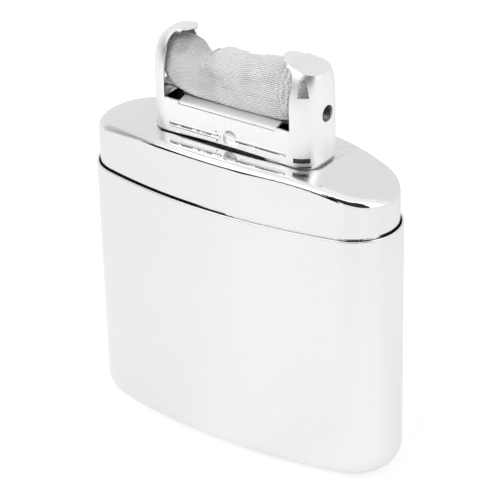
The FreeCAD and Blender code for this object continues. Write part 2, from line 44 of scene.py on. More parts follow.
# --- camera ----------------------------------------------------------------------------------
CAMERA_AZIMUTH = 36.43       # degrees round from the front, towards the right
CAMERA_ELEVATION = 27.68
CAMERA_ROLL = -1.45
CAMERA_DISTANCE = 454.88 * MM
CAMERA_SENSOR = 36.0
CAMERA_LENS = 169.02
CAMERA_SIDESTEP = -0.5 * MM
CAMERA_AIM_HEIGHT = 41.26 * MM
CAMERA_SHIFT = (0.0100, -0.0223)
CAMERA_CLIP = (0.01, 50.0)


def make_camera():
    azimuth = math.radians(CAMERA_AZIMUTH)
    elevation = math.radians(CAMERA_ELEVATION)
    roll = math.radians(CAMERA_ROLL)
    back = Vector((math.sin(azimuth) * math.cos(elevation), -math.cos(azimuth) * math.cos(elevation),
                   math.sin(elevation)))
    right = Vector((math.cos(azimuth), math.sin(azimuth), 0.0))
    up = back.cross(right)
    turned_right = right * math.cos(roll) + up * math.sin(roll)
    turned_up = up * math.cos(roll) - right * math.sin(roll)
    data = bpy.data.cameras.new("camera")
    data.lens = CAMERA_LENS
    data.sensor_width = CAMERA_SENSOR
    data.shift_x, data.shift_y = CAMERA_SHIFT
    data.clip_start, data.clip_end = CAMERA_CLIP
    camera = bpy.data.objects.new("camera", data)
    aim = right * CAMERA_SIDESTEP + Vector((0, 0, CAMERA_AIM_HEIGHT))
    place = aim + back * CAMERA_DISTANCE
    camera.matrix_world = Matrix((
        (turned_right.x, turned_up.x, back.x, place.x),
        (turned_right.y, turned_up.y, back.y, place.y),
        (turned_right.z, turned_up.z, back.z, place.z),
        (0, 0, 0, 1)))
    bpy.context.scene.collection.objects.link(camera)
    bpy.context.scene.camera = camera


# --- curves and lumps ------------------------------------------------------------------------
SEED_STEP = 17.3             # how far apart in the noise two seeds lie


def along(table, x):
    """Smooth curve through (x, value) pairs, read at x."""
    last = len(table) - 2
    i = 0
    while i < last and x > table[i + 1][0]:
        i += 1
    x0, x1 = table[i][0], table[i + 1][0]
    t = min(max((x - x0) / (x1 - x0), 0.0), 1.0)
    before, after = table[max(i - 1, 0)], table[min(i + 2, len(table) - 1)]
    rise0 = (table[i + 1][1] - before[1]) / (x1 - before[0]) * (x1 - x0)
    rise1 = (after[1] - table[i][1]) / (after[0] - x0) * (x1 - x0)
    t2, t3 = t * t, t * t * t
    return (table[i][1] * (2 * t3 - 3 * t2 + 1) + rise0 * (t3 - 2 * t2 + t)
            + table[i + 1][1] * (3 * t2 - 2 * t3) + rise1 * (t3 - t2))


def step_up(value, low, high):
    """0 at low, 1 at high, smooth between and level past them; low may be the greater."""
    t = min(max((value - low) / (high - low), 0.0), 1.0)
    return t * t * (3 - 2 * t)


def ridge(away, width):
    """1 on a line, falling off smoothly to both sides over this width."""
    return math.exp(-(away / width) ** 2)


def lump(x, y, z, size, seed):
    """Smooth noise from about -1 to 1, in lumps of this size."""
    return noise.noise(Vector((x / size, y / size, z / size + seed * SEED_STEP)))


def lumps_at(place, table, start=0.0):
    """Lumps of several sizes added to start; the table's rows are height, size and seed."""
    return sum((height * lump(*place, size, seed) for height, size, seed in table), start)


# --- building materials ----------------------------------------------------------------------
# Scales are in cycles per metre. SMEAR_ROUGHNESS and the tones of mottle, marks, rubs and stains are
# shares of the metal's own. A patch is given by its noise's values where it starts and where it is whole.
MOTTLE_SCALE = 60.0
MOTTLE_TONE = 0.985
SMEAR_SCALE = (35.0, 35.0, 12.0)
SMEAR_ROUGHNESS = (0.75, 1.3)
SMEAR_DEPTH = 0.25 * MM
POLISH_SCALE = (260.0, 260.0, 9000.0)    # polishing lines, which run round the object
POLISH_STRENGTH = 0.12
HAIR_SCALE = (420.0, 420.0, 60.0)
HAIR_WIDTH = 0.012           # in cells; the scratches run along the edges of the cells
HAIR_PATCH_SCALE = 130.0
HAIR_PATCH = (0.56, 0.64)
HAIR_STRENGTH = 0.12
SPECK_SCALE = (170.0, 170.0, 170.0)
SPECK_RADIUS = (0.02, 0.07)  # in cells, where a speck is whole and where it has ended
SPECK_PATCH_SCALE = 90.0
SPECK_PATCH = (0.58, 0.62)
SPECK_STRENGTH = 0.4
MARK_TONE = 0.62             # marks are the hair scratches and specks together
MARK_ROUGHNESS = 0.25
MARK_CUT = 0.5
MARK_DEPTH = 0.02 * MM       # also of the polishing lines
RUB_SCALE = (900.0, 900.0, 1500.0)
RUB_PATCH = (0.42, 0.68)
RUB_TONE = 0.86
RUB_STRENGTH = 0.35
RUB_ROUGHNESS = 0.16
# Darkening in boxes and rings: mostly painted shade in gaps, under parts and on edges.
DARKENING_SCALE = 700.0
DARKENING_PATCH = (0.5, 0.62)    # less by how broken the darkening is
DARKENING_TONE = 0.02
DARKENING_ROUGHNESS = 0.3
STAIN_SCALE = 240.0
STAIN_TONES = (0.78, 0.76, 0.74)
STAIN_ROUGHNESS = 0.12
GRAIN_LONG = 0.05            # of the grain's scale, along the sheet
GRAIN_DEPTH = 0.03 * MM
FIBRE_STRETCH = (0.12, 0.35, 0.4)        # of a fibre's scale: along it, and up for each of the two ways
FIBRE_DEPTH = 0.08 * MM
CLUMP_DEPTH = 0.4 * MM
CLUMP_SHARE = 0.4            # of the clumps in the shade, beside the fibres
THREAD_FIBRE_SCALE = 9000.0
THREAD_FIBRE_SHARE = 0.2     # of the fibres in a thread's shade, beside its lift
THREAD_FIBRE_DEPTH = 0.02 * MM
THREAD_METAL_SCALE = 4000.0
THREAD_METAL = (0.15, 0.55)  # how metallic the glass and the metal of a thread are
SOOT_SCALE = 210.0
SOOT_PATCH = (0.45, 0.72)
SOOT_AND_SHADE_TONE = 0.5
SOOT_STRENGTH = 0.22


def add(tree, kind, inputs=None, **settings):
    """A shader node; inputs maps socket names or numbers to values or to other nodes' sockets."""
    made = tree.nodes.new("ShaderNode" + kind)
    for key, value in settings.items():
        setattr(made, key, value)
    for key, value in (inputs or {}).items():
        if isinstance(value, bpy.types.NodeSocket):
            tree.links.new(value, made.inputs[key])
        else:
            made.inputs[key].default_value = value
    return made


def grey(value):
    return (value, value, value, 1.0)


def new_material(name, **sockets):
    """A material with its tree and shader; sockets are named as in the shader, in small letters."""
    material = bpy.data.materials.new(name)
    material.use_nodes = True
    shader = material.node_tree.nodes["Principled BSDF"]
    for key, value in sockets.items():
        shader.inputs[key.replace("_", " ").title().replace("Ior", "IOR")].default_value = value
    return material, material.node_tree, shader


def empty_material(name):
    """A material whose tree holds no node yet, and that tree."""
    material = bpy.data.materials.new(name)
    material.use_nodes = True
    material.node_tree.nodes.clear()
    return material, material.node_tree


def scaled(tree, scale):
    """The piece's own coordinates, stretched by scale."""
    where = add(tree, "TexCoord").outputs["Object"]
    return add(tree, "Mapping", {"Vector": where, "Scale": scale}).outputs["Vector"]


def noise_at(tree, scale, detail=3.0, rough=0.55, distortion=0.0):
    """Noise from 0 to 1; its scale is one number or one for each axis."""
    vector = scaled(tree, scale if isinstance(scale, tuple) else (scale, scale, scale))
    return add(tree, "TexNoise", {"Vector": vector, "Scale": 1.0, "Detail": detail, "Roughness": rough,
                                  "Distortion": distortion}).outputs[0]


def spread(tree, value, low, high, to_low=0.0, to_high=1.0):
    """value from low..high taken to to_low..to_high, smoothly and clamped."""
    return add(tree, "MapRange", {"Value": value, "From Min": low, "From Max": high, "To Min": to_low,
                                  "To Max": to_high}, interpolation_type="SMOOTHSTEP").outputs[0]


def maths(tree, what, *values):
    return add(tree, "Math", dict(enumerate(values)), operation=what).outputs[0]


def plus(tree, first, second):
    return maths(tree, "ADD", first, second)


def times(tree, first, second):
    return maths(tree, "MULTIPLY", first, second)


def between(tree, share, first, second):
    return add(tree, "MixRGB", {0: share, 1: first, 2: second}).outputs[0]


def places(tree):
    """The X, Y and Z of the surface, in metres."""
    where = add(tree, "TexCoord").outputs["Object"]
    return add(tree, "SeparateXYZ", {0: where}).outputs


def inside(tree, value, low, high, fade):
    """1 from low to high, falling to 0 over fade at both ends; all three in millimetres."""
    rise = spread(tree, value, (low - fade) * MM, low * MM)
    fall = spread(tree, value, high * MM, (high + fade) * MM, 1.0, 0.0)
    return times(tree, rise, fall)


def in_box(tree, place, box):
    """1 inside a box given as (axis, low, high, fade) on some of the axes, in millimetres."""
    share = 1.0
    for axis, low, high, fade in box:
        share = times(tree, inside(tree, place[axis], low, high, fade), share)
    return share


def in_ring(tree, place, x, z, low, high, fade):
    """1 between two distances from a place on the front, in millimetres."""
    across = maths(tree, "SUBTRACT", place[X], x * MM)
    rise = maths(tree, "SUBTRACT", place[Z], z * MM)
    reach = maths(tree, "SQRT", plus(tree, times(tree, across, across), times(tree, rise, rise)))
    return inside(tree, reach, low, high, fade)


def hairs_and_specks(tree):
    """Hair scratches and small specks, both only in patches."""
    cells = {"Vector": scaled(tree, HAIR_SCALE), "Scale": 1.0, "Randomness": 1.0}
    hair = add(tree, "TexVoronoi", cells, feature="DISTANCE_TO_EDGE").outputs["Distance"]
    hairs = times(tree, spread(tree, hair, 0.0, HAIR_WIDTH, 1.0, 0.0),
                  spread(tree, noise_at(tree, HAIR_PATCH_SCALE, 2.0), *HAIR_PATCH))
    cells = {"Vector": scaled(tree, SPECK_SCALE), "Scale": 1.0}
    speck = add(tree, "TexVoronoi", cells).outputs["Distance"]
    specks = times(tree, spread(tree, speck, *SPECK_RADIUS, 1.0, 0.0),
                   spread(tree, noise_at(tree, SPECK_PATCH_SCALE, 1.0), *SPECK_PATCH))
    return maths(tree, "MAXIMUM", times(tree, hairs, HAIR_STRENGTH),
                 times(tree, specks, SPECK_STRENGTH))


def rubbed_at(tree, height, centre, reach):
    """1 in worn flecks at one height; centre and reach in millimetres."""
    away = maths(tree, "ABSOLUTE", maths(tree, "SUBTRACT", height, centre * MM))
    near = spread(tree, away, 0.0, reach * MM, 1.0, 0.0)
    return times(tree, near, spread(tree, noise_at(tree, RUB_SCALE, 4.0, 0.7), *RUB_PATCH))


def polished(name, tone, rough, wave, scratch, rubs=(), dark_boxes=(), rings=(), dulls=()):
    """Plated sheet metal: faint waviness, polishing lines, hair scratches, specks, rubbed heights
    (centre, reach), darkening in boxes and rings, mostly painted shade (each with how strong and
    how broken), and boxes where it is duller by some roughness."""
    material, tree, shader = new_material(name, metallic=1.0)
    place = places(tree)
    mottle = noise_at(tree, MOTTLE_SCALE, 4.0)
    smear = noise_at(tree, SMEAR_SCALE, 5.0, 0.6, 0.4)
    lines = noise_at(tree, POLISH_SCALE, 2.0, 0.7)
    marks = hairs_and_specks(tree)
    color = between(tree, spread(tree, mottle, 0.3, 0.7), grey(tone * MOTTLE_TONE), grey(tone))
    color = between(tree, times(tree, marks, scratch), color, grey(tone * MARK_TONE))
    smoother, rougher = (rough * share for share in SMEAR_ROUGHNESS)
    roughness = plus(tree, spread(tree, smear, 0.35, 0.75, smoother, rougher),
                     times(tree, marks, MARK_ROUGHNESS))
    for centre, reach in rubs:
        worn = rubbed_at(tree, place[Z], centre, reach)
        roughness = plus(tree, roughness, times(tree, worn, RUB_ROUGHNESS))
        color = between(tree, times(tree, worn, RUB_STRENGTH), color, grey(tone * RUB_TONE))
    for box, extra in dulls:
        roughness = plus(tree, roughness, times(tree, in_box(tree, place, box), extra))
    # Dark boxes and rings: painted shade in gaps, under parts and on edges, and some dark lines and
    # spots.
    darkenings = [(in_box(tree, place, box), strength, broken) for box, strength, broken in dark_boxes]
    for ring, box, strength, broken in rings:
        within = times(tree, in_ring(tree, place, *ring), in_box(tree, place, box))
        darkenings.append((within, strength, broken))
    for within, strength, broken in darkenings:
        share = times(tree, within, strength)
        if broken:
            flecks = noise_at(tree, DARKENING_SCALE, 3.0, 0.6)
            low, high = (value - broken for value in DARKENING_PATCH)
            share = times(tree, share, spread(tree, flecks, low, high))
        color = between(tree, share, color, grey(DARKENING_TONE))
        roughness = plus(tree, roughness, times(tree, share, DARKENING_ROUGHNESS))
    waves = add(tree, "Bump", {"Strength": wave, "Distance": SMEAR_DEPTH, "Height": smear}).outputs[0]
    fine = add(tree, "Bump", {"Strength": scratch * POLISH_STRENGTH, "Distance": MARK_DEPTH,
                              "Height": lines, "Normal": waves}).outputs[0]
    cut = add(tree, "Bump", {"Strength": scratch * MARK_CUT, "Distance": -MARK_DEPTH,
                             "Height": marks, "Normal": fine}).outputs[0]
    tree.links.new(color, shader.inputs["Base Color"])
    tree.links.new(roughness, shader.inputs["Roughness"])
    tree.links.new(cut, shader.inputs["Normal"])
    return material


def bare_sheet(name, tone, rough, grain):
    """Unplated punched metal: rolling grain, soft stains, duller in patches."""
    material, tree, shader = new_material(name, metallic=1.0)
    lines = noise_at(tree, (grain * GRAIN_LONG, grain, grain), 3.0, 0.65)
    stain = noise_at(tree, STAIN_SCALE, 5.0, 0.6, 0.6)
    stained = (*(tone * share for share in STAIN_TONES), 1)
    color = between(tree, spread(tree, stain, 0.35, 0.7), grey(tone), stained)
    roughness = plus(tree, spread(tree, lines, 0.3, 0.7, rough * 0.8, rough * 1.25),
                     spread(tree, stain, 0.5, 0.8, 0.0, STAIN_ROUGHNESS))
    bumps = add(tree, "Bump", {"Strength": 0.25, "Distance": GRAIN_DEPTH, "Height": lines}).outputs[0]
    tree.links.new(color, shader.inputs["Base Color"])
    tree.links.new(roughness, shader.inputs["Roughness"])
    tree.links.new(bumps, shader.inputs["Normal"])
    return material


def fibrous(name, light, dark, fibre, clump, sheen, bump):
    """Loose or pressed fibre: crossing hairs over soft clumps."""
    material, tree, shader = new_material(name, roughness=0.9, sheen_weight=sheen, sheen_roughness=0.5,
                                          specular_ior_level=0.25)
    stretched, up, up_too = (fibre * share for share in FIBRE_STRETCH)
    front_to_back = noise_at(tree, (fibre, stretched, up), 4.0, 0.7, 1.2)
    side_to_side = noise_at(tree, (stretched, fibre, up_too), 4.0, 0.7, 1.2)
    hairs = maths(tree, "MAXIMUM", front_to_back, side_to_side)
    clumps = noise_at(tree, clump, 4.0, 0.6, 0.3)
    shade = plus(tree, times(tree, hairs, 1 - CLUMP_SHARE), times(tree, clumps, CLUMP_SHARE))
    color = between(tree, spread(tree, shade, 0.38, 0.68), dark, light)
    low = add(tree, "Bump", {"Strength": bump, "Distance": CLUMP_DEPTH, "Height": clumps}).outputs[0]
    fine = add(tree, "Bump", {"Strength": bump, "Distance": FIBRE_DEPTH, "Height": hairs,
                              "Normal": low}).outputs[0]
    tree.links.new(color, shader.inputs["Base Color"])
    tree.links.new(fine, shader.inputs["Normal"])
    return material


def woven(name, light, dark, shade_boxes):
    """Fine thread of glass and metal: paler where it rides over and darker where it passes under, as
    painted shade; sooty in patches, and darker in boxes as painted shade (each with how strong)."""
    material, tree, shader = new_material(name, roughness=0.45, sheen_weight=0.25, sheen_roughness=0.5,
                                          specular_ior_level=0.5)
    lift = add(tree, "Attribute", attribute_name=LIFT_LAYER).outputs["Fac"]
    fibre = noise_at(tree, THREAD_FIBRE_SCALE, 2.0, 0.6)
    # Painted shade: a thread is darker where it passes under another, by its lift.
    shade = plus(tree, spread(tree, lift, -1.0, 1.0, 0.0, 1 - THREAD_FIBRE_SHARE),
                 times(tree, spread(tree, fibre, 0.3, 0.7), THREAD_FIBRE_SHARE))
    color = between(tree, shade, grey(dark), grey(light))
    patches = noise_at(tree, SOOT_SCALE, 4.0, 0.6, 0.3)
    stain = spread(tree, patches, *SOOT_PATCH, 0.0, SOOT_STRENGTH)
    place = places(tree)
    # The boxes are painted shade; the noise patches are soot.
    for box, strength in shade_boxes:
        stain = maths(tree, "MAXIMUM", stain, times(tree, in_box(tree, place, box), strength))
    color = between(tree, stain, color, grey(SOOT_AND_SHADE_TONE))
    metal = spread(tree, noise_at(tree, THREAD_METAL_SCALE, 1.0), 0.45, 0.6, *THREAD_METAL)
    bumps = add(tree, "Bump", {"Strength": 0.3, "Distance": THREAD_FIBRE_DEPTH,
                               "Height": fibre}).outputs[0]
    tree.links.new(color, shader.inputs["Base Color"])
    tree.links.new(metal, shader.inputs["Metallic"])
    tree.links.new(bumps, shader.inputs["Normal"])
    return material


# --- studio, in metres -----------------------------------------------------------------------
WORLD_LIGHT = 0.72           # on the object; what the camera and the metal see of the world is 1
FLOOR_SIZE = 6.0
FLOOR_DROP = 0.02 * MM       # below the object, so that the two don't share a plane
FLOOR_TONE = 0.55
FLOOR_CAMERA_GLOW = 0.62
# How bright the floor looks in the metal: degrees round the object, strength.
FLOOR_GLOW = ((-180.0, 0.30), (-122.0, 0.33), (-108.0, 0.40), (-60.0, 0.405), (-37.0, 0.43),
              (-22.0, 0.46), (-5.0, 0.47), (14.0, 0.465), (26.0, 0.45), (48.0, 0.455), (58.0, 0.48),
              (88.0, 0.48), (100.0, 0.46), (128.0, 0.46), (150.0, 0.43), (168.0, 0.37), (180.0, 0.30))
FLOOR_NEAR = (0.03, 0.15)    # metres from the middle, between which the extra glow close by fades
FLOOR_NEAR_GLOW = 0.05
SOFTBOX_SIZE = (0.5, 0.4)
SOFTBOX_POWER = 1.5
SOFTBOX_PLACE = (-0.25, -0.30, 0.55)
SOFTBOX_AIM = (0, 0, 0.05)

CARD_EYE = 0.06              # height over the middle of the base, from which the cards are placed
CARD_DISTANCE = 0.6
CARD_LOWEST = 0.6 * MM       # a card that reaches the floor lies this far above it
CARD_LAYER = "card"
PATCH_STEPS = 20
BAND_STEPS = 60
BAND_ROWS = 8

# The dark gaps between the lights in front: degrees round (0 is the front, 90 the right), lower and
# upper elevation.
FRONT_GAP = ((-54, 4, 7), (-50, -3, 15), (-46, -6, 20), (-42, 1, 20), (-37, 5, 20), (-32, 5, 19),
             (-28, 4, 19), (-24, -3, 20), (-22, 3, 17), (-15, 6, 17), (-8, 8, 20), (-2, 5, 20),
             (4, -6, 20), (10, -12, 18))
RIGHT_GAP = ((4, 18, 34), (12, 12, 44), (20, 8, 48), (32, 4, 48), (51, 0, 48), (66, 0, 48),
             (80, 2, 42))


def glow(name, strength, soft):
    """Material of a pale or dark card, only ever seen in reflections; soft is the share of its width
    and height that fades out at each edge."""
    material, tree = empty_material(name)
    light = add(tree, "Emission", {"Color": grey(1.0), "Strength": strength}).outputs[0]
    where = add(tree, "UVMap", uv_map=CARD_LAYER).outputs[0]
    across = add(tree, "SeparateXYZ", {0: where}).outputs
    shares = []
    for axis in (X, Y):
        edge = maths(tree, "MINIMUM", across[axis], maths(tree, "SUBTRACT", 1.0, across[axis]))
        shares.append(spread(tree, edge, 0.0, soft))
    clear = add(tree, "BsdfTransparent").outputs[0]
    faded = add(tree, "MixShader", {0: times(tree, *shares), 1: clear, 2: light}).outputs[0]
    add(tree, "OutputMaterial", {"Surface": faded})
    return material


def card_from(name, rows, strength, soft):
    """A card of glowing or dark paper through rows of points, seen only in the metal."""
    mesh = bpy.data.meshes.new(name)
    tall, wide = len(rows), len(rows[0])
    faces = [(i * wide + j, (i + 1) * wide + j, (i + 1) * wide + j + 1, i * wide + j + 1)
             for i in range(tall - 1) for j in range(wide - 1)]
    mesh.from_pydata([point for row in rows for point in row], [], faces)
    layer = mesh.uv_layers.new(name=CARD_LAYER)
    for loop in mesh.loops:
        i, j = divmod(loop.vertex_index, wide)
        layer.data[loop.index].uv = i / (tall - 1), j / (wide - 1)
    mesh.materials.append(glow(name, strength, soft))
    card = bpy.data.objects.new(name, mesh)
    bpy.context.scene.collection.objects.link(card)
    card.visible_camera = False
    card.visible_diffuse = False
    card.visible_shadow = False
    card.visible_transmission = False


def in_direction(azimuth, elevation, reach):
    """The point this far from the cards' eye, in a direction given in degrees."""
    a, e = math.radians(azimuth), math.radians(elevation)
    return (reach * math.sin(a) * math.cos(e), -reach * math.cos(a) * math.cos(e),
            CARD_EYE + reach * math.sin(e))


def patch(name, azimuths, elevations, strength, soft, distance=CARD_DISTANCE):
    """A card curved round the object, over these degrees. Where it would pass below the floor it
    lies on it instead, in the same direction."""
    rows = []
    for i in range(PATCH_STEPS + 1):
        azimuth = azimuths[0] + (azimuths[1] - azimuths[0]) * i / PATCH_STEPS
        row = []
        for j in range(PATCH_STEPS + 1):
            elevation = elevations[0] + (elevations[1] - elevations[0]) * j / PATCH_STEPS
            slope = math.sin(math.radians(elevation))
            reach = distance
            if CARD_EYE + distance * slope < CARD_LOWEST:
                reach = (CARD_EYE - CARD_LOWEST) / -slope
            row.append(in_direction(azimuth, elevation, reach))
        rows.append(row)
    card_from(name, rows, strength, soft)


def band(name, table, strength, soft):
    """A card whose lower and upper elevations vary round the object, as the table says."""
    lows = tuple((azimuth, low) for azimuth, low, high in table)
    highs = tuple((azimuth, high) for azimuth, low, high in table)
    rows = []
    for i in range(BAND_STEPS + 1):
        azimuth = table[0][0] + (table[-1][0] - table[0][0]) * i / BAND_STEPS
        low, high = along(lows, azimuth), along(highs, azimuth)
        rows.append([in_direction(azimuth, low + (high - low) * j / BAND_ROWS, CARD_DISTANCE)
                     for j in range(BAND_ROWS + 1)])
    card_from(name, rows, strength, soft)


def make_world():
    world = bpy.data.worlds.new("studio")
    bpy.context.scene.world = world
    world.use_nodes = True
    tree = world.node_tree
    tree.nodes.clear()
    path = add(tree, "LightPath").outputs
    seen_in = maths(tree, "MAXIMUM", path["Is Glossy Ray"], path["Is Transmission Ray"])
    seen = maths(tree, "MAXIMUM", path["Is Camera Ray"], seen_in)
    strength = spread(tree, seen, 0.0, 1.0, WORLD_LIGHT, 1.0)
    sky = add(tree, "Background", {"Color": grey(1.0), "Strength": strength}).outputs[0]
    add(tree, "OutputWorld", {"Surface": sky})


def floor_glow(tree):
    """How bright the floor looks in the metal: it varies round the object, and is more close by."""
    place = places(tree)
    turn = maths(tree, "ARCTAN2", place[X], times(tree, place[Y], -1.0))
    share = add(tree, "MapRange", {"Value": turn, "From Min": -math.pi, "From Max": math.pi}).outputs[0]
    ramp = add(tree, "ValToRGB", {0: share})
    stops = ramp.color_ramp.elements
    while len(stops) < len(FLOOR_GLOW):
        stops.new(0.5)
    for stop, (degrees, value) in zip(stops, FLOOR_GLOW):
        stop.position = degrees / 360.0 + 0.5
        stop.color = grey(value)
    flat = add(tree, "CombineXYZ", {X: place[X], Y: place[Y]}).outputs[0]
    reach = add(tree, "VectorMath", {0: flat}, operation="LENGTH").outputs["Value"]
    return plus(tree, ramp.outputs[0], spread(tree, reach, *FLOOR_NEAR, FLOOR_NEAR_GLOW, 0.0))


def make_floor():
    bpy.ops.mesh.primitive_grid_add(x_subdivisions=4, y_subdivisions=4, size=FLOOR_SIZE,
                                    location=(0, 0, -FLOOR_DROP))
    floor = bpy.context.object
    floor.name = "floor"
    material, tree = empty_material("floor")
    path = add(tree, "LightPath").outputs
    camera_glow = times(tree, path["Is Camera Ray"], FLOOR_CAMERA_GLOW)
    glossy_glow = times(tree, path["Is Glossy Ray"], floor_glow(tree))
    strength = plus(tree, camera_glow, glossy_glow)
    paper = add(tree, "BsdfDiffuse", {"Color": grey(FLOOR_TONE)}).outputs[0]
    white = add(tree, "Emission", {"Color": grey(1.0), "Strength": strength}).outputs[0]
    add(tree, "OutputMaterial", {"Surface": add(tree, "AddShader", {0: paper, 1: white}).outputs[0]})
    floor.data.materials.append(material)


def make_softbox():
    data = bpy.data.lights.new("softbox", "AREA")
    data.shape = "RECTANGLE"
    data.size, data.size_y = SOFTBOX_SIZE
    data.energy = SOFTBOX_POWER
    lamp = bpy.data.objects.new("softbox", data)
    lamp.location = SOFTBOX_PLACE
    lamp.rotation_euler = (Vector(SOFTBOX_AIM) - lamp.location).to_track_quat("-Z", "Y").to_euler()
    lamp.visible_glossy = False
    bpy.context.scene.collection.objects.link(lamp)


def make_cards():
    """What the metal mirrors: lights and gaps all round, with the places they take in degrees."""
    patch("back_wall", (120, 300), (-2, 50), strength=0.84, soft=0.12, distance=0.62)
    patch("rear_strip", (-158, -127), (40, 57), strength=0.0, soft=0.06, distance=0.58)
    band("front_gap", FRONT_GAP, strength=0.0, soft=0.02)
    patch("front_haze", (-74, -49), (0, 32), strength=0.42, soft=0.35, distance=0.59)
    patch("front_floor", (-62, -12), (-23.6, -12), strength=1.0, soft=0.2)
    patch("left_gap", (-96, -46), (-12, 40), strength=0.6, soft=0.35)
    patch("overhead", (-60, 76), (22, 60), strength=1.4, soft=0.06, distance=0.61)
    patch("overhead_left", (-112, -56), (51, 60), strength=1.25, soft=0.04, distance=0.61)
    band("right_gap", RIGHT_GAP, strength=0.03, soft=0.02)
    patch("right_box", (78, 115), (8, 60), strength=1.4, soft=0.1)


# --- soft pieces, in millimetres -------------------------------------------------------------
LIFT_LAYER = "lift"          # mesh attribute: 1 where a thread rides over, -1 where it passes under; the gauze is painted darker by it, as shade
THREAD_PITCH = 0.36
THREAD_WIDTH = 0.31
THREAD_THICKNESS = 0.10
THREAD_WEAVE = 0.055         # how far a thread rides above or below the cloth's middle
THREAD_CORNERS = 4
TWILL = 3                    # of this many crossings, a thread changes sides at one
# These lifts also set a thread's tone: lower is darker, as painted shade where it passes under; the
# threads round the bag come out darker overall.
LONG_LIFTS = (1.0, -0.6)     # of a thread along the bag: where it rides over, and where it dips
ROUND_LIFTS = (-1.0, 0.4)    # of a thread round the bag: where it passes under, and where it rises
STRIP_MARGIN = 0.05          # of a thread's strip in the bake layer
STRIP_END = 0.01             # what each corner of a thread's ends takes there
WRAP_TURNS = (0.075, 0.925)  # where round the bag the cloth starts and ends
WRAP_STEPS = 3000

WOOL_INSET = 0.5
WOOL_SPLIT = 75.0            # height at which the two pads of wool meet
WOOL_GAP = 0.05              # of each pad to that height
WOOL_SHORTER = 1.2           # than the bag, at each end
WOOL_RINGS = 72
WOOL_AROUND = 56
WOOL_TUFTS = ((0.10, 0.8, 6), (0.14, 1.7, 7))    # height, size, seed
WOOL_PROUD = 0.05            # the most that a tuft stands out
WOOL_END = 0.12              # least size of a ring at the ends, where the pads close
WOOL_SQUARENESS = 8          # of those ends: the power of the curve by which they close
SOFT_SMOOTHING = (0.5, 6)    # factor and rounds, of the felt and the cotton
SOFT_LUMPS = ((0.5, 1, 8), (0.25, 3, 9))         # height, times smaller than the largest, seed

# Along the bag, left to right.
BAG_CREST = ((-17.3, 78.0), (-16.4, 79.8), (-14.8, 80.9), (-12.6, 80.9), (-11.0, 79.7), (-9.6, 78.3),
             (-8.6, 77.9), (-7.7, 78.2), (-6.0, 79.5), (-4.1, 80.4), (-1.4, 80.5), (1.6, 80.2),
             (4.4, 80.75), (7.3, 81.1), (9.6, 81.1), (12.4, 80.8), (15.2, 79.8), (16.6, 78.4),
             (17.3, 76.8))
BAG_FLOOR = ((-17.3, 76.6), (-16.4, 74.4), (-15.2, 72.9), (-13.9, 72.0), (-11.8, 71.2), (-9.9, 70.85),
             (-6.0, 70.6), (0.0, 70.5), (8.0, 70.5), (12.0, 70.7), (14.5, 71.4), (16.0, 73.0),
             (17.3, 75.8))
BAG_HALF_WIDTH = ((-17.3, 0.6), (-16.7, 2.4), (-15.8, 3.7), (-14.0, 4.5), (-11.0, 4.7), (-6.0, 4.75),
                  (0.0, 4.8), (6.0, 4.75), (10.0, 4.6), (13.0, 4.3), (15.4, 3.3), (16.6, 1.9),
                  (17.3, 0.5))
# Round the bag, from the middle underneath to the front, the crest and the back: half-width, height.
BAG_ROUND = ((0.0, 0.0), (-0.42, 0.0), (-0.74, 0.02), (-0.93, 0.12), (-1.0, 0.32), (-0.98, 0.55),
             (-0.86, 0.77), (-0.58, 0.92), (-0.26, 0.985), (0.0, 1.0), (0.26, 0.985), (0.58, 0.92),
             (0.86, 0.77), (0.98, 0.55), (1.0, 0.32), (0.93, 0.12), (0.74, 0.02), (0.42, 0.0),
             (0.0, 0.0))
ROUND_WIDTH = tuple((i / (len(BAG_ROUND) - 1), width) for i, (width, height) in enumerate(BAG_ROUND))
ROUND_HEIGHT = tuple((i / (len(BAG_ROUND) - 1), height) for i, (width, height) in enumerate(BAG_ROUND))

BAG_LEAST_HALF = 0.05
BAG_FREE = (0.02, 0.2)       # shares of its height between which the cloth becomes free to crumple

# Crumples of the cloth. Lumps have a height, a size and a seed; a pair of places says where a crumple
# starts or ends, and where it is whole.
CRUMPLE_LUMPS = ((0.42, 4.6, 1), (0.24, 2.1, 2), (0.07, 1.0, 3))
FACE_START = (0.5, 2.5)      # from the middle to the front or the back
FOLD_PLACE = (-7.9, 79.6)    # a point on the deep fold
FOLD_LEAN = 0.72             # how far left it goes for each millimetre up
FOLD_WANDER = ((0.5, 3.0, 4),)
# The fold, the hollow right of it and the lesser fold left of it: height, place beside the fold,
# width, and the heights between which it grows.
FOLD_RIDGES = ((0.5, 0.0, 0.55, 73.5, 78.0), (-0.42, 1.3, 0.9, 74.0, 79.0),
               (0.30, -2.6, 0.6, 75.0, 79.0))
PLEAT_HEIGHT = 0.20          # small upright pleats beside the right jamb
PLEAT_WAVES = 6.3 / 1.15     # radians of their wave for each millimetre
PLEAT_LEAN = 0.10            # how far left they go for each millimetre up from this height
PLEAT_FROM = 76.0
PLEATS_START = (9.0, 12.0)
PLEATS_END = (15.8, 13.5)
PLEATS_FOOT = (72.0, 75.5)
RAY_CENTRE = (12.6, 70.2)    # creases that fan out from the lower right corner
RAY_HEIGHT = 0.16
RAYS = 17.0                  # radians of their wave for each radian round the corner
RAY_REACH = 3.2              # how far from the corner they are highest
RAY_WIDTH = 2.2
SAG_PLACE = (-1.0, 74.6)     # a point on the long hollow across the lower front
SAG_LEAN = 0.33              # how far down it goes for each millimetre to the right
SAG_WANDER = ((0.8, 5.0, 5),)
# The hollow and the ridge above it: height, place above the hollow, width, and where it ends.
SAG_RIDGES = ((-0.34, 0.0, 0.8, (8.0, 2.0)), (0.24, 1.7, 0.9, (9.0, 3.0)))
SAG_START = (-9.0, -3.0)


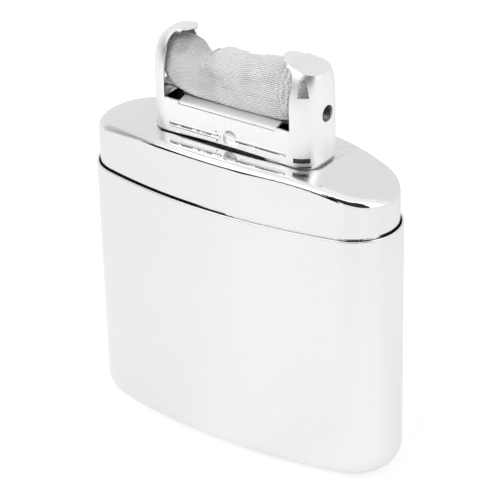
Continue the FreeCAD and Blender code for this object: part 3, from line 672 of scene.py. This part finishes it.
def fold(x, y, z):
    away = x - FOLD_PLACE[0] + FOLD_LEAN * (z - FOLD_PLACE[1]) + lumps_at((x, y, z), FOLD_WANDER)
    return sum(height * ridge(away - beside, width) * step_up(z, low, high)
               for height, beside, width, low, high in FOLD_RIDGES)


def pleats(x, z):
    beside_jamb = step_up(x, *PLEATS_START) * step_up(x, *PLEATS_END)
    waves = math.sin(PLEAT_WAVES * (x + PLEAT_LEAN * (z - PLEAT_FROM)))
    return PLEAT_HEIGHT * beside_jamb * waves * step_up(z, *PLEATS_FOOT)


def rays(x, z):
    across, rise = RAY_CENTRE[0] - x, z - RAY_CENTRE[1]
    turn, reach = math.atan2(rise, across), math.hypot(rise, across)
    return RAY_HEIGHT * math.sin(turn * RAYS) * ridge(reach - RAY_REACH, RAY_WIDTH)


def sag(x, y, z):
    away = z - SAG_PLACE[1] + SAG_LEAN * (x - SAG_PLACE[0]) + lumps_at((x, y, 0.0), SAG_WANDER)
    return sum(height * ridge(away - above, width) * step_up(x, *SAG_START) * step_up(x, *end)
               for height, above, width, end in SAG_RIDGES)


def crumple(x, y, z):
    """How far the cloth stands out from the bag's smooth form at a place, in millimetres."""
    lumps = lumps_at((x, y, z), CRUMPLE_LUMPS)
    on_faces = step_up(abs(y), *FACE_START)
    return lumps + fold(x, y, z) + on_faces * (pleats(x, z) + rays(x, z) + sag(x, y, z))


def bag_point(x, turn, inset=0.0):
    """Place on the bag: turn runs from 0 underneath, round the front and the back, to 1."""
    low, high = along(BAG_FLOOR, x) + inset, along(BAG_CREST, x) - inset
    half = max(along(BAG_HALF_WIDTH, x) - inset, BAG_LEAST_HALF)
    y = half * along(ROUND_WIDTH, turn)
    height = along(ROUND_HEIGHT, turn)
    z = low + (high - low) * height
    free = step_up(height, *BAG_FREE)
    centre = (low + high) / 2
    away = Vector((0.0, y / half, (z - centre) / (high - low) * 2))
    if away.length > 0.01:
        away.normalize()
    return Vector((x, y, z)) + away * (crumple(x, y, z) * free)


def piece_of(name, mesh, material, body):
    """An object of this mesh, with this material, that rides on a body."""
    mesh.materials.append(material)
    piece = bpy.data.objects.new(name, mesh)
    bpy.context.scene.collection.objects.link(piece)
    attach(piece, body)
    return piece


def smooth_shaded(mesh):
    mesh.polygons.foreach_set("use_smooth", [True] * len(mesh.polygons))
    return mesh


def weave(name, material, length_count, round_count, place, body):
    """Twill cloth as closed threads both ways; place(i, j) gives a crossing's point in millimetres."""
    grid = [[place(i, j) for j in range(round_count)] for i in range(length_count)]
    points, faces, uvs, shades = [], [], [], []
    strips = length_count + round_count
    side_share = (1 - 2 * STRIP_MARGIN) / THREAD_CORNERS

    def thread(line, sides, lifts, strip):
        first = len(points)
        count = len(line)
        for centre, (side, out), lift in zip(line, sides, lifts):
            middle = centre + out * (lift * THREAD_WEAVE)
            shades.extend([lift] * THREAD_CORNERS)
            points.extend((middle + side * (THREAD_WIDTH / 2), middle + out * (THREAD_THICKNESS / 2),
                           middle - side * (THREAD_WIDTH / 2), middle - out * (THREAD_THICKNESS / 2)))
        for k in range(count - 1):
            low, high = first + THREAD_CORNERS * k, first + THREAD_CORNERS * (k + 1)
            near, far = k / (count - 1), (k + 1) / (count - 1)
            for c in range(THREAD_CORNERS):
                d = (c + 1) % THREAD_CORNERS
                faces.append((low + c, low + d, high + d, high + c))
                bottom = (strip + STRIP_MARGIN + side_share * c) / strips
                top = (strip + STRIP_MARGIN + side_share * (c + 1)) / strips
                uvs.append(((near, bottom), (near, top), (far, top), (far, bottom)))
        last = first + THREAD_CORNERS * (count - 1)
        for start, order in ((first, (3, 2, 1, 0)), (last, (0, 1, 2, 3))):
            faces.append(tuple(start + c for c in order))
            uvs.append(tuple((0.0, (strip + STRIP_END * c) / strips) for c in range(THREAD_CORNERS)))

    def directions(i, j):
        ahead = grid[min(i + 1, length_count - 1)][j] - grid[max(i - 1, 0)][j]
        around = grid[i][min(j + 1, round_count - 1)] - grid[i][max(j - 1, 0)]
        ahead.normalize()
        around.normalize()
        out = ahead.cross(around)
        if out.length < 1e-6:
            out = Vector((0.0, 0.0, 1.0))
        return ahead, around, out.normalized()

    frames = [[directions(i, j) for j in range(round_count)] for i in range(length_count)]
    for j in range(round_count):
        over, dip = LONG_LIFTS
        thread([grid[i][j] for i in range(length_count)],
               [(frames[i][j][1], frames[i][j][2]) for i in range(length_count)],
               [over if (i - j) % TWILL else dip for i in range(length_count)], j)
    for i in range(length_count):
        under, rise = ROUND_LIFTS
        thread([grid[i][j] for j in range(round_count)],
               [(frames[i][j][0], frames[i][j][2]) for j in range(round_count)],
               [under if (i - j) % TWILL else rise for j in range(round_count)], round_count + i)

    mesh = bpy.data.meshes.new(name)
    mesh.from_pydata([tuple(point * MM) for point in points], [], faces)
    layer = mesh.uv_layers.new(name="OFBake")
    layer.data.foreach_set("uv", [value for face in uvs for corner in face for value in corner])
    mesh.attributes.new(LIFT_LAYER, "FLOAT", "POINT").data.foreach_set("value", shades)
    return piece_of(name, smooth_shaded(mesh), material, body)


def woven_bag():
    """The gauze: cloth wrapped round the wool from under its front edge to under its back edge."""
    ends = BAG_CREST[0][0], BAG_CREST[-1][0]
    length_count = int((ends[1] - ends[0]) / THREAD_PITCH)
    start, end = WRAP_TURNS
    fine = [bag_point(0.0, start + (end - start) * k / WRAP_STEPS) for k in range(WRAP_STEPS + 1)]
    gaps = [(fine[k + 1] - fine[k]).length for k in range(WRAP_STEPS)]
    around = sum(gaps)
    round_count = int(around / THREAD_PITCH)
    turns = []
    covered = 0.0
    for k, gap in enumerate(gaps):
        while len(turns) < round_count and covered + gap >= len(turns) * around / (round_count - 1):
            turns.append(start + (end - start) * (k + 0.5) / WRAP_STEPS)
        covered += gap
    while len(turns) < round_count:
        turns.append(end)

    def place(i, j):
        return bag_point(ends[0] + (ends[1] - ends[0]) * i / (length_count - 1), turns[j])

    return weave("gauze_bag", GAUZE, length_count, round_count, place, "burner")


def wool_form():
    """Rings of points of the catalyst wool: the bag's own form, drawn in, lumpy, closed at its ends."""
    left, right = BAG_CREST[0][0] + WOOL_SHORTER, BAG_CREST[-1][0] - WOOL_SHORTER
    rings = []
    for i in range(WOOL_RINGS + 1):
        x = left + (right - left) * i / WOOL_RINGS
        close = math.sqrt(max(1 - abs(2 * i / WOOL_RINGS - 1) ** WOOL_SQUARENESS, 0.0))
        middle = Vector((x, 0.0, (along(BAG_FLOOR, x) + along(BAG_CREST, x)) / 2))
        ring = []
        for j in range(WOOL_AROUND):
            spot = bag_point(x, j / WOOL_AROUND, WOOL_INSET)
            tuft = max(lumps_at(spot, WOOL_TUFTS), -WOOL_PROUD)
            spot = spot + (middle - spot).normalized() * tuft
            ring.append(middle + (spot - middle) * max(close, WOOL_END))
        rings.append(ring)
    return rings


def wool_pad(name, form, lower):
    """One of the two pads of catalyst wool: its form below or above the height where they meet."""
    work = bmesh.new()
    grid = [[work.verts.new(spot * MM) for spot in ring] for ring in form]
    for i in range(WOOL_RINGS):
        for j in range(WOOL_AROUND):
            k = (j + 1) % WOOL_AROUND
            work.faces.new((grid[i][j], grid[i][k], grid[i + 1][k], grid[i + 1][j]))
    for ring in (grid[0], grid[-1]):
        work.faces.new(ring)
    level = (WOOL_SPLIT - WOOL_GAP if lower else WOOL_SPLIT + WOOL_GAP) * MM
    cut = bmesh.ops.bisect_plane(work, geom=work.verts[:] + work.edges[:] + work.faces[:],
                                 plane_co=(0, 0, level), plane_no=(0, 0, 1), clear_outer=lower,
                                 clear_inner=not lower)
    edges = [item for item in cut["geom_cut"] if isinstance(item, bmesh.types.BMEdge)]
    bmesh.ops.contextual_create(work, geom=edges)
    bmesh.ops.recalc_face_normals(work, faces=work.faces[:])
    mesh = bpy.data.meshes.new(name)
    work.to_mesh(mesh)
    work.free()
    return piece_of(name, smooth_shaded(mesh), WOOL, "burner")


def softened(name, node, material, cell, dent, size):
    """A soft copy of one of the tank's solids: remeshed in cells, smoothed, and drawn in by up to
    dent in lumps of this size; all three in millimetres."""
    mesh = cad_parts[node].data.copy()
    mesh.materials.clear()
    piece = piece_of(name, mesh, material, "tank")
    remesh = piece.modifiers.new("remesh", "REMESH")
    remesh.mode = "VOXEL"
    remesh.voxel_size = cell * MM
    smooth = piece.modifiers.new("smooth", "SMOOTH")
    smooth.factor, smooth.iterations = SOFT_SMOOTHING
    depsgraph = bpy.context.evaluated_depsgraph_get()
    shaped = bpy.data.meshes.new_from_object(piece.evaluated_get(depsgraph))
    piece.modifiers.clear()
    piece.data = shaped
    shaped.name = name
    lumps = [(height, size / smaller, seed) for height, smaller, seed in SOFT_LUMPS]
    for vertex in shaped.vertices:
        spot = vertex.co / MM
        depth = min(max(lumps_at(spot, lumps, 0.5), 0.0), 1.0)
        vertex.co = vertex.co - vertex.normal * (dent * depth * MM)
    smooth_shaded(shaped)
    return piece


# --- solder, in millimetres ------------------------------------------------------------------
SOLDER_RISE = 0.7            # how much higher it stands along the right half of the front
SOLDER_GROWS = (3.6, 6.0)    # from left to right, where that rise starts and where it is whole
SOLDER_FADES = (27.0, 29.0)
SOLDER_CUTS = 4              # of each slope
SOLDER_TOP = 0.1             # only what is this close to its top rises


def risen_solder():
    """The solder, standing higher in the joint along the right half of the front."""
    work = bmesh.new()
    work.from_mesh(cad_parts["seam_solder"].data)
    for low, high in (SOLDER_GROWS, SOLDER_FADES):
        for i in range(SOLDER_CUTS + 1):
            x = low + (high - low) * i / SOLDER_CUTS
            bmesh.ops.bisect_plane(work, geom=work.verts[:] + work.edges[:] + work.faces[:],
                                   plane_co=(x * MM, 0, 0), plane_no=(1, 0, 0))
    top = max(vertex.co.z for vertex in work.verts)
    for vertex in work.verts:
        if vertex.co.z > top - SOLDER_TOP * MM and vertex.co.y < 0:
            x = vertex.co.x / MM
            rise = step_up(x, *SOLDER_GROWS) * step_up(x, *reversed(SOLDER_FADES))
            vertex.co.z += SOLDER_RISE * MM * rise
    mesh = bpy.data.meshes.new("solder_line")
    work.to_mesh(mesh)
    work.free()
    return piece_of("solder_line", mesh, SOLDER, "tank")


# --- painted shade and dark marks, in millimetres --------------------------------------------
# Each row is a box, (axis, low, high, fade) on some of the axes, how strong it is, and how broken.
FRONT = (Y, -FAR, -1.0, 1.0)
# Painted shade of the seam gap: the shoulder's foot is painted dark along the seam, all round.
SEAM_SHADE = ((((X, -FAR, -4.0, 4.0), FRONT, (Z, 51.0, 52.84, 0.08)), 0.97, 0.0),
              (((X, -FAR, 3.2, 0.6), FRONT, (Z, 51.0, 52.68, 0.08)), 0.93, 0.0),
              (((X, 28.6, FAR, 0.8), (Y, -FAR, -6.4, 0.4), (Z, 51.0, 52.74, 0.1)), 0.85, 0.14),
              (((X, 28.0, FAR, 1.0), (Y, -2.9, FAR, 1.2), (Z, 51.0, 52.86, 0.1)), 0.97, 0.0),
              (((X, -FAR, 28.0, 1.0), (Y, 1.0, FAR, 1.0), (Z, 51.0, 52.6, 0.1)), 0.9, 0.1))
# Painted shade of the seam gap on the solder: dark everywhere except along the right half of the front.
SOLDER_SHADE = ((((X, -FAR, 3.2, 1.0),), 0.97, 0.0), (((X, 28.4, FAR, 1.0),), 0.97, 0.0),
                (((Y, 0.0, FAR, 1.0),), 0.97, 0.0))
# Painted shade on the neck's foot, so that the gap under the burner's rim and its right slot look dark;
# the second row runs all round.
NECK_SHADE = ((((X, -FAR, 8.0, 1.6), (Z, 60.0, 64.2, 0.35)), 0.95, 0.0),
              (((Z, 63.45, 64.9, 0.15),), 0.88, 0.0))
# Painted shade and reflection of the dark gap under the burner's front rim, on the shoulder in front of
# it.
FOOT_SHADE = ((((X, -15.3, -5.0, 0.6), (Y, -6.28, -5.0, 0.12), (Z, 62.6, FAR, 0.1)), 0.92, 0.0),
              (((X, -9.6, -3.0, 2.4), (Y, -6.5, -5.0, 0.5), (Z, 62.6, FAR, 0.1)), 0.5, 0.0))
# Dark dotted lines along the bead's upper edge, front and back; the last row is painted shade on the
# burner's lower left corner.
BEAD_LINES_AND_CORNER_SHADE = ((((X, -13.2, -3.6, 0.4), (Y, -FAR, -5.7, 0.1), (Z, 64.93, 65.10, 0.12)), 0.85, 0.13),
              (((X, 2.6, 11.5, 2.5), (Y, -FAR, -5.7, 0.1), (Z, 64.93, 65.08, 0.1)), 0.9, 0.16),
              (((X, -13.2, 13.2, 2.0), (Y, 5.7, FAR, 0.1), (Z, 64.95, 65.07, 0.1)), 0.4, 0.08),
              (((X, -FAR, -17.6, 1.0), (Z, 62.0, 64.0, 1.2)), 0.35, 0.2))
# Painted shade under the tip of the left claw and along its cut edge.
CLAW_SHADE = ((((X, -12.3, -10.0, 0.3), (Y, -2.4, 0.6, 0.2), (Z, 82.45, 82.88, 0.06)), 0.85, 0.0),
              (((X, -13.5, -12.3, 0.4), (Y, -2.8, -2.2, 0.1), (Z, 82.1, 82.6, 0.08)), 0.6, 0.0))
# The dimple's ring is painted shade on its right edge; the three spots are dark spots to its left.
# Rings and spots by the dimple: centre x and z, inner and outer radius, fade; then a row as above.
DIMPLE_SHADE_AND_SPOTS = (((0.85, 65.2, 1.30, 1.42, 0.10), (FRONT, (X, 0.1, FAR, 0.5)), 0.3, 0.1),
                ((-2.4, 65.9, -1.0, 0.13, 0.12), (FRONT,), 0.7, 0.0),
                ((-2.0, 65.3, -1.0, 0.12, 0.12), (FRONT,), 0.7, 0.0),
                ((-2.25, 64.1, -1.0, 0.14, 0.12), (FRONT,), 0.7, 0.0))
# Boxes of the gauze painted darker as shade, under the left hood and in the fold, and how strong that is
# there.
GAUZE_SHADE = ((((X, -FAR, -12.5, 2.5), (Z, 79.3, FAR, 1.8)), 0.7),
              (((X, -FAR, -10.0, 3.0),), 0.25),
              (((X, -9.0, -4.5, 3.0), (Z, 73.5, 76.5, 2.5)), 0.35))
# Boxes where the metal is duller, and by how much roughness: round the burner on the shoulder; and
# of the burner its folded tabs, its two ends and the right hood's top.
DULL_CAP = ((((X, -19.0, 19.5, 1.5), (Y, -7.6, 7.6, 1.4), (Z, 62.6, FAR, 0.1)), 0.11),)
DULL_BURNER = ((((X, -12.6, 12.6, 0.4), (Y, -5.7, 5.7, 0.1), (Z, 69.7, 70.9, 0.1)), 0.32),
               (((X, 14.5, FAR, 1.5),), 0.12), (((X, -FAR, -15.0, 1.5),), 0.08),
               (((X, 10.0, FAR, 1.0), (Z, 82.2, FAR, 0.3)), 0.2))

# --- finishes --------------------------------------------------------------------------------
COTTON_TONES = (0.93, 0.93, 0.91, 1), (0.74, 0.74, 0.72, 1)      # light, dark
FELT_TONES = (0.85, 0.84, 0.81, 1), (0.62, 0.61, 0.58, 1)
WOOL_TONES = (0.80, 0.80, 0.80, 1), (0.50, 0.50, 0.50, 1)

PLATED_SHELL = polished("plated_shell", tone=0.87, rough=0.07, wave=0.05, scratch=0.5,
                        rubs=((2.2, 2.4), (52.4, 0.7)))
PLATED_CAP = polished("plated_cap", tone=0.87, rough=0.05, wave=0.06, scratch=0.4,
                      rubs=((62.6, 0.5),), dark_boxes=SEAM_SHADE + FOOT_SHADE, dulls=DULL_CAP)
PLATED_NECK = polished("plated_neck", tone=0.84, rough=0.10, wave=0.08, scratch=0.6,
                       rubs=((68.4, 0.4),), dark_boxes=NECK_SHADE)
BURNER_STEEL = polished("burner_steel", tone=0.98, rough=0.30, wave=0.12, scratch=0.5,
                        rubs=((63.4, 0.5),), dark_boxes=BEAD_LINES_AND_CORNER_SHADE + CLAW_SHADE, rings=DIMPLE_SHADE_AND_SPOTS,
                        dulls=DULL_BURNER)
SOLDER = polished("solder", tone=0.5, rough=0.4, wave=0.2, scratch=0.4, dark_boxes=SOLDER_SHADE)
GRILLE_STEEL = bare_sheet("grille_steel", tone=0.60, rough=0.32, grain=1500.0)
COTTON = fibrous("cotton", *COTTON_TONES, fibre=900.0, clump=160.0, sheen=0.5, bump=0.8)
FELT = fibrous("felt", *FELT_TONES, fibre=1600.0, clump=420.0, sheen=0.6, bump=0.5)
WOOL = fibrous("catalyst_wool", *WOOL_TONES, fibre=1800.0, clump=500.0, sheen=0.3, bump=0.7)
GAUZE = woven("woven_gauze", light=1.0, dark=0.88, shade_boxes=GAUZE_SHADE)

FINISHES = {
    "body_shell": PLATED_SHELL, "shoulder_cap": PLATED_CAP, "seam_solder": SOLDER,
    "neck_sleeve": PLATED_NECK, "neck_grille": GRILLE_STEEL, "felt_pad": FELT,
    "cotton_front": COTTON, "cotton_middle": COTTON, "cotton_rear": COTTON,
    "burner_frame": BURNER_STEEL, "mat_carrier": GRILLE_STEEL, "gauze_cover": GAUZE,
    "catalyst_wool_lower": WOOL, "catalyst_wool_upper": WOOL,
}
for name, material in FINISHES.items():
    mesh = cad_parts[name].data
    mesh.materials.clear()
    mesh.materials.append(material)

# --- the scene -------------------------------------------------------------------------------
bpy.context.scene.view_settings.view_transform = "Standard"
make_camera()
make_world()
make_floor()
make_softbox()
make_cards()

solder_line = risen_solder()
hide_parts("seam_solder")

gauze_bag = woven_bag()
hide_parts("gauze_cover")

wool = wool_form()
for part in ("lower", "upper"):
    pad = wool_pad("wool_" + part, wool, part == "lower")
    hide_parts("catalyst_wool_" + part)

felt = softened("felt", "felt_pad", FELT, cell=0.5, dent=0.12, size=2.5)
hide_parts("felt_pad")

for side in ("front", "middle", "rear"):
    batt = softened("batt_" + side, "cotton_" + side, COTTON, cell=1.3, dent=0.7, size=7.0)
    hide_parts("cotton_" + side)
